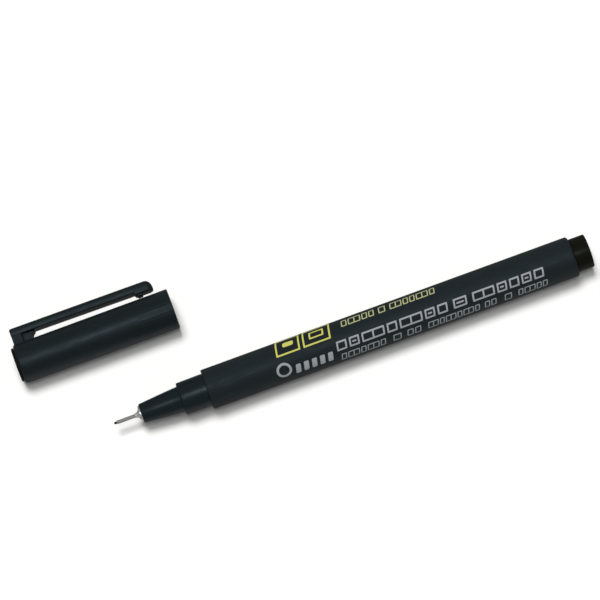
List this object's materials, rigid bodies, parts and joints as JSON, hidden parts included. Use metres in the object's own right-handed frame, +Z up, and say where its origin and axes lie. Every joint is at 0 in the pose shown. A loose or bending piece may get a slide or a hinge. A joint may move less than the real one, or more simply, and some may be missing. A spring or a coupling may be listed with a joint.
{
  "type": "felt tip marker",
  "caption": "Fine-line felt tip marker with a thin metal-sleeved nib, a stepped nose, a straight round barrel with a rear plug, and a clip cap lying uncapped beside it.",
  "frame": {"origin": "on the table, under the middle of the whole object's bounding box", "axes": "+X along the pen from its nib to its tail, +Y sideways from the pen to the cap, +Z up"},
  "size_m": [0.139, 0.0354, 0.01],
  "materials": {
    "barrel_plastic": "satin blue-black moulded plastic, fine grain",
    "cap_plastic": "satin blue-black moulded plastic",
    "section_plastic": "smooth semi-gloss black moulding",
    "plug_plastic": "glossy neutral black moulding",
    "seal_plastic": "smooth dark polypropylene",
    "tip_steel": "turned stainless steel",
    "nib_fibre": "ink-black extruded nib",
    "ink_felt": "ink-soaked polyester fibre",
    "clear_film": "thin clear wrap"
  },
  "bodies": {
    "pen": {"barrel": "barrel_plastic", "rear_plug": "plug_plastic", "front_section": "section_plastic", "tip_collar": "tip_steel", "needle_tube": "tip_steel", "nib": "nib_fibre", "feed_wick": "ink_felt", "reservoir_core": "ink_felt", "reservoir_film": "clear_film"},
    "cap": {"cap_shell": "cap_plastic", "cap_end_plug": "plug_plastic", "cap_inner_seal": "seal_plastic"},
    "clip": {"pocket_clip": "cap_plastic"}
  },
  "joints": [
    {"name": "cap_pull", "type": "slide", "parent": "pen", "child": "cap", "axis": [-1, 0, 0], "range_m": [0, 0.024]},
    {"name": "clip_flex", "type": "hinge", "parent": "cap", "child": "clip", "pos_m": [-0.06607, 0.01554, 0.00498], "axis": [0, 0, 1], "range_deg": [0, 4], "stiffness_Nm_per_rad": 0.8}
  ]
}
